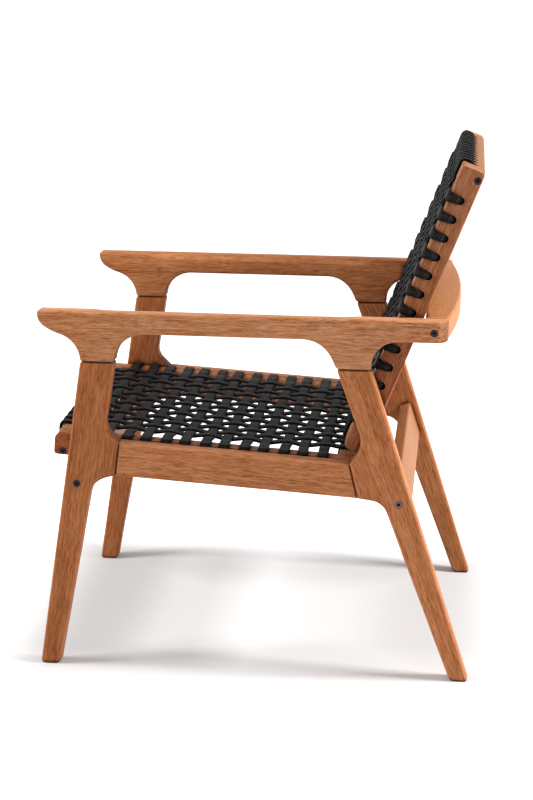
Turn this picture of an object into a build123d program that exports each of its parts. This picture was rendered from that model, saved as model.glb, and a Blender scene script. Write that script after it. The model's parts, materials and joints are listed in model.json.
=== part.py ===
from build123d import *
import os
from math import cos, radians, sin

# A low lounge armchair. Sizes are in millimetres: the floor is Z = 0, the front faces -Y,
# and the sitter's left is +X. Side views are drawn as (y, z).

# Side frames: each is four shaped boards joined end to end
FRAME_WIDTH = 560
FRAME_THICK = 28
EASE = 2.5
SEAM_BEVEL = 3
FOOT_BEVEL = 4
ARM_TOP = 577
ARM_UNDERSIDE = 543.2
LEG_TOP = 498
RAIL_HEIGHT = 53.5
RAIL_TOP_FRONT = (-212.5, 370)
RAIL_TOP_REAR_Y = 147
RAIL_BOTTOM_FRONT_Y = -219
RAIL_BOTTOM_REAR_Y = 160.5
SEAT_SLOPE = 3.4

FRONT_FOOT = (-342, -311.5)
FRONT_LEG_TOP = (-272, -218.6)
REAR_FOOT = (311.5, 340)
REAR_LEG_TOP = (124.8, 177.5)
LOWER_FRONT_KNUCKLE = (-255.2, 306.5, 36)
UPPER_FRONT_KNUCKLE = (-235, 392, 25)
UPPER_REAR_KNUCKLE = (168.6, 378, 40)
LOWER_REAR_KNUCKLE = (200, 288.8, 30)

# Armrest: a nose in front of the leg, and flares that run down into both legs
ARM_NOSE_Y = -338.5
ARM_REAR_Y = 293
NOSE_ROUND = 5
NOSE_CHIN = (-327.5, 551.5)
NOSE_TURN = (-304, 540.5)
FRONT_FLARE = (-213, ARM_UNDERSIDE, 46)
REAR_FLARE = (103, ARM_UNDERSIDE, 50)
TAIL_FLARE = (178, ARM_UNDERSIDE, 39)
ARM_REAR_ROUND = 20
ARM_CHAMFER = 10
ARM_CHAMFER_FULL_Y = (-236, 133)
ARM_CHAMFER_RUNOUT = (17, 28)
ARM_CHAMFER_END = 1

# Cross members between the side frames
RAIL_BOARD_THICK = 20
FRONT_STRETCHER = (-279.5, 302)
FRONT_STRETCHER_HEIGHT = 66
FRONT_LEG_LEAN = 8
REAR_STRETCHER = (224.5, 287)
REAR_STRETCHER_HEIGHT = 60
REAR_LEG_LEAN = -18.5
BACK_RAIL_INNER_Y = 257.4
BACK_RAIL_OUTER_ENDS_Y = 292.5
BACK_RAIL_OUTER_MIDDLE_Y = 309.5

# Seat and back are two alike comb frames, woven with flat strap
PANEL_LENGTH = 475
PANEL_WIDTH = 498
MEMBER_THICK = 28
MEMBER_EASE = 2
MEMBER_END_ROUND = 6
FIRST_END_ROUND = 11
FIRST_END_BEVEL = 6.5
SLOT_COUNT = 13
SLOT_PITCH = 31
SLOT_WIDTH = 13
SLOT_DEPTH = 24.5
SLOT_END_SIDES = 8
FIRST_SLOT = (PANEL_LENGTH - (SLOT_COUNT - 1) * SLOT_PITCH) / 2
SEAT_DEPTH = 36
SEAT_FRONT_EDGE = (-319.2, 376.2)
BACK_DEPTH = 37.2
BACK_BOTTOM_EDGE = (134.5, 368)
BACK_LEAN = 21.2

# Flat braided strap, in the panels' own frame: Z = 0 is the woven face
STRAP_WIDTH = 16
STRAP_THICK = 2
STRAP_IN_SLOT = 12.6
STRAP_LOOP_HEIGHT = 18
STRAP_BULGE = 1
STRAP_PLAY = 0.3
WEAVE_LIFT = STRAP_THICK + 0.1

# Fixings: they repeat, so the round ones have few faces. Cutters run past the wood by CUT_OVER
HEAD_SIDES = 12
SHANK_SIDES = 8
HOLE_PLAY = 0.05
CUT_OVER = 1
BOLT_HEAD_RADIUS = 6
BOLT_HEAD_HEIGHT = 5
BOLT_RADIUS = 3
BOLT_LENGTH = 60
BOLT_INSET = 0.5
FRAME_SCREW_LENGTH = 50
INSERT_RADIUS = 5
INSERT_LENGTH = 15
INSERT_DEPTH = 15
DOWEL_RADIUS = 4
DOWEL_LENGTH = 40
DOWEL_OFFSET = 18
TENON = (10, 40, 30)
SCREW_RADIUS = 2.2
SCREW_HEAD_RADIUS = 4.2
SCREW_HEAD_HEIGHT = 3
SCREW_LENGTH = 46
BACK_RAIL_BOLT = (271.5, 559)
BACK_RAIL_DOWEL = (283.5, 561)
FRAME_SCREW_FROM_END = MEMBER_THICK / 2
FIXING_DEPTH = -30
SEAT_SCREWS_AT = (3.5, 8.5)
BACK_SCREWS_AT = (0.5, 5.5)

OUTER_X = FRAME_WIDTH / 2
INNER_X = OUTER_X - FRAME_THICK
PANEL_X = PANEL_WIDTH / 2
MEMBER_X = PANEL_X - MEMBER_THICK
SLOTS_X = [SLOT_PITCH * (i - (SLOT_COUNT - 1) / 2) for i in range(SLOT_COUNT)]
SLOTS_Y = [FIRST_SLOT + SLOT_PITCH * i for i in range(SLOT_COUNT)]
SEAT_PLACE = Pos(0, *SEAT_FRONT_EDGE) * Rot(-SEAT_SLOPE, 0, 0)
BACK_PLACE = Pos(0, *BACK_BOTTOM_EDGE) * Rot(90 - BACK_LEAN, 0, 0)

parts = {}


def rail_top(y):
    """Height of the side rail's sloping top edge."""
    fall = sin(radians(SEAT_SLOPE)) / cos(radians(SEAT_SLOPE))
    return RAIL_TOP_FRONT[1] - fall * (y - RAIL_TOP_FRONT[0])


def rail_bottom(y):
    return rail_top(y) - RAIL_HEIGHT / cos(radians(SEAT_SLOPE))


def round_corners(face, corners):
    """Fillet the corners of a flat outline that are given with a radius."""
    for y, z, radius in corners:
        nearest = face.vertices().sort_by_distance((y, z, 0))[0]
        face = fillet(nearest, radius)
    return face


def bevel_corners(face, ends, z, size):
    """Bevel an outline's corners at one height: a foot, or a seam, where it leaves a V groove."""
    for y in ends:
        nearest = face.vertices().sort_by_distance((y, z, 0))[0]
        face = chamfer(nearest, size)
    return face


def board(face):
    """The left frame's piece: an outline sawn from a board."""
    return Pos(INNER_X, 0, 0) * extrude(Plane.YZ * face, FRAME_THICK)


def ease_board(solid):
    """Ease the outline on both faces of a board."""
    return chamfer(solid.faces().filter_by(Axis.X).edges(), EASE)


def both_sides(name, left):
    parts["left_" + name] = left
    parts["right_" + name] = mirror(left, Plane.YZ)


def bar(x, y, z, radius, length, sides=SHANK_SIDES):
    """A round bar that starts at x and runs along X, inwards if its length is positive."""
    start = Plane((x, y, z), x_dir=(0, 1, 0), z_dir=(-1, 0, 0))
    return extrude(start * RegularPolygon(radius, sides), length)


def tenon(y, z, lean):
    """A loose tenon, half in each of the two boards that it joins."""
    return Pos((INNER_X + OUTER_X) / 2, y, z) * Rot(lean, 0, 0) * Box(*TENON)


def along_board(centre, lean, distance):
    """A point on a cross member's side view, up its height from the centre."""
    y, z = centre
    return y + distance * sin(radians(lean)), z + distance * cos(radians(lean))


SEAM_FRONT = [
    (RAIL_BOTTOM_FRONT_Y, rail_bottom(RAIL_BOTTOM_FRONT_Y)),
    (RAIL_TOP_FRONT[0], rail_top(RAIL_TOP_FRONT[0])),
]
SEAM_REAR = [
    (RAIL_BOTTOM_REAR_Y, rail_bottom(RAIL_BOTTOM_REAR_Y)),
    (RAIL_TOP_REAR_Y, rail_top(RAIL_TOP_REAR_Y)),
]


def middle(seam):
    (y0, z0), (y1, z1) = seam
    return (y0 + y1) / 2, (z0 + z1) / 2


# Places of the fixings in the side frame, seen from the side
STRETCHER_BOLTS = [FRONT_STRETCHER, REAR_STRETCHER]
STRETCHER_DOWELS = [
    along_board(FRONT_STRETCHER, FRONT_LEG_LEAN, -DOWEL_OFFSET),
    along_board(REAR_STRETCHER, REAR_LEG_LEAN, -DOWEL_OFFSET),
]
arm_tenons = [tenon(sum(span) / 2, LEG_TOP, 90) for span in (FRONT_LEG_TOP, REAR_LEG_TOP)]
rail_tenons = [tenon(*middle(seam), -SEAT_SLOPE) for seam in (SEAM_FRONT, SEAM_REAR)]


def bolt(x, y, z, length):
    """Bolt along X, with its round head outwards."""
    head = bar(x, y, z, BOLT_HEAD_RADIUS, BOLT_HEAD_HEIGHT, HEAD_SIDES)
    return head + bar(x, y, z, BOLT_RADIUS, length)


def bolt_hole(x, y, z, length):
    """The counterbored hole that a bolt needs, open to the outside."""
    head_depth = BOLT_HEAD_HEIGHT + CUT_OVER
    head = bar(x + CUT_OVER, y, z, BOLT_HEAD_RADIUS + HOLE_PLAY, head_depth, HEAD_SIDES)
    return head + bar(x, y, z, BOLT_RADIUS + HOLE_PLAY, length + CUT_OVER)


def screw(x, y, z):
    """Wood screw driven outwards along X from the inner face of a panel's side member."""
    return bar(x, y, z, SCREW_HEAD_RADIUS, -SCREW_HEAD_HEIGHT) + bar(x, y, z, SCREW_RADIUS, -SCREW_LENGTH)


def insert(y, z, hole):
    """Threaded sleeve in the end grain of a cross member, for a bolt to run into."""
    return bar(INNER_X - INSERT_DEPTH, y, z, INSERT_RADIUS, INSERT_LENGTH) - hole


def insert_hole(y, z):
    return bar(INNER_X, y, z, INSERT_RADIUS + HOLE_PLAY, INSERT_DEPTH + INSERT_LENGTH)


def group(solids):
    """Alike pieces of both sides as one node of separate solids."""
    mirrored = [mirror(solid, Plane.YZ) for solid in solids]
    return Compound(children=[s for piece in solids + mirrored for s in piece.solids()])


BOLT_X = OUTER_X - BOLT_INSET
DOWEL_X = INNER_X + DOWEL_LENGTH / 2
stretcher_bolts = [bolt(BOLT_X, *at, BOLT_LENGTH) for at in STRETCHER_BOLTS]
stretcher_bolt_holes = [bolt_hole(BOLT_X, *at, BOLT_LENGTH) for at in STRETCHER_BOLTS]
stretcher_inserts = [insert(*at, hole) for at, hole in zip(STRETCHER_BOLTS, stretcher_bolt_holes)]
stretcher_dowels = [bar(DOWEL_X, *at, DOWEL_RADIUS, DOWEL_LENGTH) for at in STRETCHER_DOWELS]
back_rail_bolt = bolt(BOLT_X, *BACK_RAIL_BOLT, BOLT_LENGTH)
back_rail_bolt_hole = bolt_hole(BOLT_X, *BACK_RAIL_BOLT, BOLT_LENGTH)
back_rail_insert = insert(*BACK_RAIL_BOLT, back_rail_bolt_hole)
back_rail_dowel = bar(DOWEL_X, *BACK_RAIL_DOWEL, DOWEL_RADIUS, DOWEL_LENGTH)


def panel_screws(place, pitches):
    """Screws from a panel's side member into the side frame, between the slots."""
    screws = []
    for pitch in pitches:
        at = place * Pos(0, FIRST_SLOT + pitch * SLOT_PITCH, FIXING_DEPTH)
        screws.append(screw(MEMBER_X, at.position.Y, at.position.Z))
    return screws


seat_screws = panel_screws(SEAT_PLACE, SEAT_SCREWS_AT)
back_screws = panel_screws(BACK_PLACE, BACK_SCREWS_AT)

# Front leg: rakes forward to the floor, with a knuckle that reaches back to the side rail
front_leg = make_face(
    Polyline(
        (FRONT_FOOT[0], 0),
        (FRONT_FOOT[1], 0),
        LOWER_FRONT_KNUCKLE[:2],
        *SEAM_FRONT,
        UPPER_FRONT_KNUCKLE[:2],
        (FRONT_LEG_TOP[1], LEG_TOP),
        (FRONT_LEG_TOP[0], LEG_TOP),
        close=True,
    )
)
front_leg = round_corners(front_leg, [LOWER_FRONT_KNUCKLE, UPPER_FRONT_KNUCKLE])
front_leg = bevel_corners(front_leg, FRONT_LEG_TOP, LEG_TOP, SEAM_BEVEL)
front_leg = bevel_corners(front_leg, FRONT_FOOT, 0, FOOT_BEVEL)
front_leg = ease_board(board(front_leg))
front_leg -= [stretcher_bolt_holes[0], stretcher_dowels[0], arm_tenons[0], rail_tenons[0]]
both_sides("front_leg", front_leg)

# Rear leg: rakes back to the floor, with a knuckle that reaches forward to the side rail
rear_leg = make_face(
    Polyline(
        (REAR_FOOT[0], 0),
        (REAR_FOOT[1], 0),
        (REAR_LEG_TOP[1], LEG_TOP),
        (REAR_LEG_TOP[0], LEG_TOP),
        UPPER_REAR_KNUCKLE[:2],
        *reversed(SEAM_REAR),
        LOWER_REAR_KNUCKLE[:2],
        close=True,
    )
)
rear_leg = round_corners(rear_leg, [UPPER_REAR_KNUCKLE, LOWER_REAR_KNUCKLE])
rear_leg = bevel_corners(rear_leg, REAR_LEG_TOP, LEG_TOP, SEAM_BEVEL)
rear_leg = bevel_corners(rear_leg, REAR_FOOT, 0, FOOT_BEVEL)
rear_leg = ease_board(board(rear_leg))
rear_leg -= [stretcher_bolt_holes[1], stretcher_dowels[1], arm_tenons[1], rail_tenons[1], back_screws[0]]
both_sides("rear_leg", rear_leg)

# Side rail: the sloping board between the two knuckles
side_rail = make_face(Polyline(*SEAM_FRONT, *reversed(SEAM_REAR), close=True))
side_rail = ease_board(board(side_rail))
side_rail -= rail_tenons + seat_screws
both_sides("side_rail", side_rail)

# Armrest: one board with a drooping nose, flared down into both legs
tip = TangentArc(
    (ARM_NOSE_Y + NOSE_ROUND, ARM_TOP), (ARM_NOSE_Y, ARM_TOP - NOSE_ROUND), tangent=(-1, 0)
)
chin = TangentArc(tip @ 1, NOSE_CHIN, tangent=tip % 1)
turn = TangentArc(chin @ 1, NOSE_TURN, tangent=chin % 1)
hollow = TangentArc(turn @ 1, (FRONT_LEG_TOP[0], LEG_TOP), tangent=turn % 1)
arm_edge = Polyline(
    (FRONT_LEG_TOP[0], LEG_TOP),
    (FRONT_LEG_TOP[1], LEG_TOP),
    FRONT_FLARE[:2],
    REAR_FLARE[:2],
    (REAR_LEG_TOP[0], LEG_TOP),
    (REAR_LEG_TOP[1], LEG_TOP),
    TAIL_FLARE[:2],
    (ARM_REAR_Y, ARM_UNDERSIDE),
    (ARM_REAR_Y, ARM_TOP),
    (ARM_NOSE_Y + NOSE_ROUND, ARM_TOP),
)
arm = make_face([tip, chin, turn, hollow, arm_edge])
arm = round_corners(arm, [FRONT_FLARE, REAR_FLARE, TAIL_FLARE])
arm = bevel_corners(arm, FRONT_LEG_TOP + REAR_LEG_TOP, LEG_TOP, SEAM_BEVEL)
arm = board(arm)
outer_rear_corner = arm.edges().filter_by(Axis.Z).sort_by_distance((OUTER_X, ARM_REAR_Y, ARM_TOP))[0]
arm = fillet(outer_rear_corner, ARM_REAR_ROUND)


def is_eased(edge):
    """All edges of the arm's outline, and around its rounded rear corner, but not the lines where
    the rounding runs into flat faces."""
    at = edge.center()
    upright = edge.geom_type == GeomType.LINE and abs((edge % 0).Z) > abs((edge % 0).Y)
    if upright and at.Y > ARM_REAR_Y - ARM_REAR_ROUND - CUT_OVER:
        return at.X < INNER_X + CUT_OVER
    on_face = abs(at.X - INNER_X) < HOLE_PLAY or abs(at.X - OUTER_X) < HOLE_PLAY
    return on_face or at.Y > ARM_REAR_Y - ARM_REAR_ROUND


arm = chamfer([edge for edge in arm.edges() if is_eased(edge)], EASE)

# The sitter's forearm meets a chamfer on the inner top edge that fades out at both ends


def chamfer_section(y, size):
    """Triangle taken off the inner top edge, cut a little oversize outside the wood."""
    edge = Plane((INNER_X, y, ARM_TOP), x_dir=(1, 0, 0), z_dir=(0, -1, 0))
    outside = [(-CUT_OVER, -size), (-CUT_OVER, CUT_OVER), (size, CUT_OVER)]
    return edge * make_face(Polyline((size, 0), (0, -size), *outside, close=True))


CHAMFER_STATIONS = [
    (ARM_CHAMFER_FULL_Y[0] - ARM_CHAMFER_RUNOUT[0], ARM_CHAMFER_END),
    (ARM_CHAMFER_FULL_Y[0], ARM_CHAMFER),
    (ARM_CHAMFER_FULL_Y[1], ARM_CHAMFER),
    (ARM_CHAMFER_FULL_Y[1] + ARM_CHAMFER_RUNOUT[1], ARM_CHAMFER_END),
]
arm -= loft([chamfer_section(y, size) for y, size in CHAMFER_STATIONS], ruled=True)
arm -= arm_tenons + [back_rail_bolt_hole, back_rail_dowel, back_screws[1]]
both_sides("armrest", arm)

# Stretchers: flat boards that lean with the legs, bolted between the side frames


def both_ends(solid, cutters):
    """Cut the same holes in both ends of a cross member."""
    return solid - cutters - [mirror(cutter, Plane.YZ) for cutter in cutters]


def stretcher(index, height, lean):
    """A board between the side frames, bored for its bolts, inserts and dowels."""
    place = Pos(0, *STRETCHER_BOLTS[index]) * Rot(-lean, 0, 0)
    blank = Box(2 * INNER_X, RAIL_BOARD_THICK, height)
    blank = place * chamfer(blank.edges().filter_by(Axis.X), MEMBER_EASE)
    holes = [stretcher_bolt_holes[index], insert_hole(*STRETCHER_BOLTS[index]), stretcher_dowels[index]]
    return both_ends(blank, holes)


parts["front_stretcher"] = stretcher(0, FRONT_STRETCHER_HEIGHT, FRONT_LEG_LEAN)
parts["rear_stretcher"] = stretcher(1, REAR_STRETCHER_HEIGHT, REAR_LEG_LEAN)

# Curved back rail: straight along the back panel, bowed behind, between the rear ends of the armrests
outer_bow = ThreePointArc(
    (INNER_X, BACK_RAIL_OUTER_ENDS_Y), (0, BACK_RAIL_OUTER_MIDDLE_Y), (-INNER_X, BACK_RAIL_OUTER_ENDS_Y)
)
inner_edge = Polyline(outer_bow @ 1, (-INNER_X, BACK_RAIL_INNER_Y), (INNER_X, BACK_RAIL_INNER_Y), outer_bow @ 0)
bow = Pos(0, 0, ARM_UNDERSIDE) * extrude(make_face([outer_bow, inner_edge]), ARM_TOP - ARM_UNDERSIDE)
bow = chamfer(bow.edges().filter_by_position(Axis.X, -CUT_OVER, CUT_OVER), EASE)
bow_holes = [back_rail_bolt_hole, insert_hole(*BACK_RAIL_BOLT), back_rail_dowel]
parts["curved_back_rail"] = both_ends(bow, bow_holes)

# Comb frames: side members run the full length, with the cross rails between them


def side_slot():
    """Round-ended slot of a side member, open at the woven face."""
    straight = SLOT_DEPTH - SLOT_WIDTH / 2
    throat = Pos(0, (CUT_OVER - straight) / 2) * Rectangle(SLOT_WIDTH, straight + CUT_OVER)
    return throat + Pos(0, -straight) * RegularPolygon(SLOT_WIDTH / 2, SLOT_END_SIDES)


def rail_slot():
    """Slot of a cross rail: its blind end has bevelled corners."""
    half = SLOT_WIDTH / 2
    turn = half / 2 - SLOT_DEPTH
    return make_face(
        Polyline(
            (-half, CUT_OVER),
            (-half, turn),
            (-half / 2, -SLOT_DEPTH),
            (half / 2, -SLOT_DEPTH),
            (half, turn),
            (half, CUT_OVER),
            close=True,
        )
    )


def frame_screw_at(end):
    """Screw through a side member into the end of a cross rail."""
    y = FRAME_SCREW_FROM_END if end == 0 else PANEL_LENGTH - FRAME_SCREW_FROM_END
    return (PANEL_X - BOLT_INSET, y, FIXING_DEPTH)


def side_member(depth):
    """The left side member of a panel, in the panel's frame. Its first end is the most rounded one."""
    side = Pos(PANEL_LENGTH / 2, -depth / 2) * Rectangle(PANEL_LENGTH, depth)
    corners = [(0, -depth), (PANEL_LENGTH, 0), (PANEL_LENGTH, -depth)]
    side = round_corners(side, [(0, 0, FIRST_END_ROUND)] + [(y, z, MEMBER_END_ROUND) for y, z in corners])
    section = Pos(MEMBER_X + MEMBER_THICK / 2, -depth / 2) * Rectangle(MEMBER_THICK, depth)
    section = chamfer(section.vertices(), MEMBER_EASE)
    blank = extrude(Plane.YZ.offset(MEMBER_X) * side, MEMBER_THICK)
    blank &= extrude(Plane.XZ * section, -PANEL_LENGTH)
    for y in SLOTS_Y:
        blank -= extrude(Plane.YZ.offset(MEMBER_X) * Pos(y, 0) * side_slot(), MEMBER_THICK)
    return blank - [bolt_hole(*frame_screw_at(end), FRAME_SCREW_LENGTH) for end in (0, 1)]


def cross_rail(end, depth):
    """A cross rail of a panel, in the panel's frame: end 0 is at y = 0, with a broad bevel outside."""
    start = 0 if end == 0 else PANEL_LENGTH - MEMBER_THICK
    section = Pos(MEMBER_THICK / 2, -depth / 2) * Rectangle(MEMBER_THICK, depth)
    first_bevel = FIRST_END_BEVEL if end == 0 else MEMBER_EASE
    section = bevel_corners(section, [0], 0, first_bevel)
    section = bevel_corners(section, [MEMBER_THICK], 0, MEMBER_EASE)
    section = bevel_corners(section, [0, MEMBER_THICK], -depth, MEMBER_EASE)
    blank = Pos(0, start, 0) * extrude(Plane.YZ * section, MEMBER_X, both=True)
    across = Plane((0, start, 0), x_dir=(1, 0, 0), z_dir=(0, -1, 0))
    slots = [extrude(across * Pos(x, 0) * rail_slot(), -MEMBER_THICK) for x in SLOTS_X]
    return both_ends(blank - slots, [bolt_hole(*frame_screw_at(end), FRAME_SCREW_LENGTH)])


# Straps: the long ones lie straight, and the cross ones pass over and under them in turn


def strap_loop(length):
    """The narrowed end of a strap, which turns down and back inside its slot."""
    size = (STRAP_IN_SLOT, length, STRAP_LOOP_HEIGHT)
    return Pos(0, 0, STRAP_THICK / 2) * Box(*size, align=(Align.CENTER, Align.MIN, Align.MAX))


def long_strap(x):
    clear = MEMBER_THICK + STRAP_PLAY
    field = Pos(x, PANEL_LENGTH / 2, 0) * Box(STRAP_WIDTH, PANEL_LENGTH - 2 * clear, STRAP_THICK)
    loop = strap_loop(clear + STRAP_BULGE)
    return field + [Pos(x, -STRAP_BULGE, 0) * loop, Pos(x, PANEL_LENGTH - clear, 0) * loop]


def cross_strap(y, row):
    """One strap across the panel: over the long straps where column plus row is odd."""
    half_flat = STRAP_WIDTH / 2 + STRAP_PLAY
    end = MEMBER_X - STRAP_PLAY
    line = [(-end, 0)]
    for column, x in enumerate(SLOTS_X):
        level = WEAVE_LIFT if (column + row) % 2 else -WEAVE_LIFT
        line += [(x - half_flat, level), (x + half_flat, level)]
    line.append((end, 0))
    upper = [(x, z + STRAP_THICK / 2) for x, z in line]
    lower = [(x, z - STRAP_THICK / 2) for x, z in reversed(line)]
    across = Plane((0, y, 0), x_dir=(1, 0, 0), z_dir=(0, -1, 0))
    field = extrude(across * make_face(Polyline(*upper, *lower, close=True)), STRAP_WIDTH / 2, both=True)
    loop = Rot(0, 0, -90) * strap_loop(PANEL_X + STRAP_BULGE - end)
    left = Pos(end, y, 0) * loop
    return field + [left, mirror(left, Plane.YZ)]


def panel(name, place, depth, member_names, rail_names, screws):
    """One comb frame with its straps and frame screws, bored for the screws that hold it in the chair."""
    side = side_member(depth) - [place.inverse() * screw_solid for screw_solid in screws]
    both_sides(member_names, place * side)
    for end, rail_name in enumerate(rail_names):
        parts[rail_name] = place * cross_rail(end, depth)
    long_straps = [place * long_strap(x) for x in SLOTS_X]
    cross_straps = [place * cross_strap(y, row) for row, y in enumerate(SLOTS_Y)]
    parts[name + "_long_straps"] = Compound(children=[s for p in long_straps for s in p.solids()])
    parts[name + "_cross_straps"] = Compound(children=[s for p in cross_straps for s in p.solids()])
    frame_screws = [place * bolt(*frame_screw_at(end), FRAME_SCREW_LENGTH) for end in (0, 1)]
    parts[name + "_frame_screws"] = group(frame_screws)


panel("seat", SEAT_PLACE, SEAT_DEPTH, "seat_side_member", ("seat_front_rail", "seat_rear_rail"), seat_screws)
panel("back", BACK_PLACE, BACK_DEPTH, "back_stile", ("back_bottom_rail", "back_top_rail"), back_screws)

# Fixings
parts["stretcher_bolts"] = group(stretcher_bolts)
parts["stretcher_inserts"] = group(stretcher_inserts)
parts["stretcher_dowels"] = group(stretcher_dowels)
parts["back_rail_bolts"] = group([back_rail_bolt])
parts["back_rail_inserts"] = group([back_rail_insert])
parts["back_rail_dowels"] = group([back_rail_dowel])
parts["arm_tenons"] = group(arm_tenons)
parts["side_rail_tenons"] = group(rail_tenons)
parts["seat_panel_screws"] = group(seat_screws)
parts["back_panel_screws"] = group(back_screws)

os.makedirs("parts", exist_ok=True)
for name, solid in parts.items():
    export_step(solid, "parts/" + name + ".step")
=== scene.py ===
import json
import math
from collections import namedtuple

import bpy
from mathutils import Matrix, Vector

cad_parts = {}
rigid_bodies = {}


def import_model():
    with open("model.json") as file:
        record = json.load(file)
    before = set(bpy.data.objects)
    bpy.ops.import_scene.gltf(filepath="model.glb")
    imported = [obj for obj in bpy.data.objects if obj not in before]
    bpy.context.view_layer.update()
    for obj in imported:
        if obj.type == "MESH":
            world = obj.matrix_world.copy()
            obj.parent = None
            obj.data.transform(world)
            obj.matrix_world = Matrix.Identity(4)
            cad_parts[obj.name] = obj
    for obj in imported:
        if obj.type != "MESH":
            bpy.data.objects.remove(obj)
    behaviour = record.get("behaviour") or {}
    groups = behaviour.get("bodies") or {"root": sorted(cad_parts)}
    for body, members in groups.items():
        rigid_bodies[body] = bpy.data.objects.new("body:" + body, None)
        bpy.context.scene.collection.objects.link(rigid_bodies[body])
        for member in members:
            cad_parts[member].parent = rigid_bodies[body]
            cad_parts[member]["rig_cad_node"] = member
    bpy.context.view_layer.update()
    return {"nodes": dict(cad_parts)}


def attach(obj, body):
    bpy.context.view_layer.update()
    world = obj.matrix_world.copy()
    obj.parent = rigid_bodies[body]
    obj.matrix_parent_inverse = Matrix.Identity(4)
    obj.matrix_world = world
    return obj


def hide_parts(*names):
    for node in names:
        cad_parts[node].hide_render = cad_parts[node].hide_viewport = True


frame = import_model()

bpy.context.scene.view_settings.view_transform = "Standard"

# Side frames: legs, side rails and armrests of an oiled reddish hardwood, each sawn from one
# straight-grained board, planed, and rounded over by hand along all its edges. The boards meet
# at V-grooved seams with loose tenons inside.
EDGE_ROUND = 0.0011
EDGE_SEGMENTS = 3
EDGE_ANGLE = math.radians(20)
SMOOTH_ANGLE = math.radians(38)
FLAT_ANGLE = math.radians(0.6)
MERGE_DISTANCE = 0.00002

WOOD_LIGHT = (0.650, 0.268, 0.122)
WOOD_DARK = (0.315, 0.084, 0.017)
WOOD_PORE = (0.120, 0.026, 0.006)
WOOD_ROUGHNESS = 0.48
PORE_ROUGHNESS = 0.25
WOOD_GLOSS = 0.08
WOOD_BUMP = (0.25, 0.0004)
# Painted shade in seams and corners, which also stands for dark oil in the joints.
SEAM_SHADE_REACH = 0.010
SEAM_SHADE_OPENNESS = (0.4, 0.92)
SEAM_SHADE_DARKEST = 0.15
END_GRAIN_SHADE_TURN = (0.25, 0.9)
OPENNESS_SAMPLES = 8

# Each layer of the grain: stretch along and across it, detail, and the range taken from its noise.
GRAIN_BANDS = ((2.5, 34, 34), 2, (0.34, 0.66))
GRAIN_STREAKS = ((15, 320, 320), 3, (0.34, 0.66))
GRAIN_FIBRES = ((55, 660, 660), 2, (0.34, 0.66))
GRAIN_PORES = ((70, 800, 800), 1, (0.58, 0.70))
GRAIN_PATCHES = ((9, 60, 60), 1, (0.36, 0.62))
GRAIN_NOISE_ROUGHNESS = 0.6
BAND_WEIGHT = 0.20
STREAK_WEIGHT = 0.38
FIBRE_WEIGHT = 0.42
PATCH_WEIGHT = 0.42
FEWEST_PORES = 0.2
FIBRE_HEIGHT = 0.35
SWAY_SCALE = 7
SWAY_DETAIL = 1
SWAY = (0, 0.012, 0.012)
MIDDLE_OF_NOISE = (0.5, 0.5, 0.5)


def feed(tree, value, socket):
    """Link another node's output to a socket, or set the socket to a plain value."""
    if isinstance(value, bpy.types.NodeSocket):
        tree.links.new(value, socket)
    else:
        socket.default_value = value


def math_node(tree, operation, first, second=0.0):
    """Arithmetic on outputs or plain numbers."""
    node = tree.nodes.new("ShaderNodeMath")
    node.operation = operation
    feed(tree, first, node.inputs[0])
    feed(tree, second, node.inputs[1])
    return node.outputs["Value"]


def vector_node(tree, operation, first, second=(0, 0, 0), output="Vector"):
    """Arithmetic on vectors."""
    node = tree.nodes.new("ShaderNodeVectorMath")
    node.operation = operation
    feed(tree, first, node.inputs[0])
    feed(tree, second, node.inputs[1])
    return node.outputs[output]


def ramp(tree, value, low, high, start=0.0, stop=1.0, curve="LINEAR"):
    """Map a range of a value, from low to high, to the range from start to stop."""
    node = tree.nodes.new("ShaderNodeMapRange")
    node.interpolation_type = curve
    for name, number in zip(("From Min", "From Max", "To Min", "To Max"), (low, high, start, stop)):
        node.inputs[name].default_value = number
    tree.links.new(value, node.inputs["Value"])
    return node.outputs["Result"]


def mix(tree, factor, first, second, blend="MIX"):
    """Blend two colours by a factor."""
    node = tree.nodes.new("ShaderNodeMix")
    node.data_type = "RGBA"
    node.blend_type = blend
    feed(tree, factor, node.inputs["Factor"])
    feed(tree, first, node.inputs["A"])
    feed(tree, second, node.inputs["B"])
    return node.outputs["Result"]


def noise(tree, place, scale, detail, roughness=0.5):
    """A noise texture over a place. Its outputs are Fac and Color."""
    node = tree.nodes.new("ShaderNodeTexNoise")
    node.inputs["Scale"].default_value = scale
    node.inputs["Detail"].default_value = detail
    node.inputs["Roughness"].default_value = roughness
    tree.links.new(place, node.inputs["Vector"])
    return node.outputs


def stretched(tree, place, scale):
    """A place, scaled on each axis."""
    node = tree.nodes.new("ShaderNodeMapping")
    node.inputs["Scale"].default_value = scale
    tree.links.new(place, node.inputs["Vector"])
    return node.outputs["Vector"]


def painted_corner_shade(tree, colour, reach, openness, darkest):
    """A colour with painted shade in seams and corners, where other surfaces are near: openness is the
    range from closed to open.
    """
    node = tree.nodes.new("ShaderNodeAmbientOcclusion")
    node.samples = OPENNESS_SAMPLES
    node.inputs["Distance"].default_value = reach
    return mix(tree, 1, colour, ramp(tree, node.outputs["AO"], *openness, darkest), "MULTIPLY")


def bumped(tree, height, strength, distance):
    """A normal tilted by a height."""
    node = tree.nodes.new("ShaderNodeBump")
    node.inputs["Strength"].default_value = strength
    node.inputs["Distance"].default_value = distance
    tree.links.new(height, node.inputs["Height"])
    return node.outputs["Normal"]


def new_material(name):
    """A new material, its node tree and the inputs of its shader."""
    material = bpy.data.materials.new(name)
    material.use_nodes = True
    return material, material.node_tree, material.node_tree.nodes["Principled BSDF"].inputs


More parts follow.
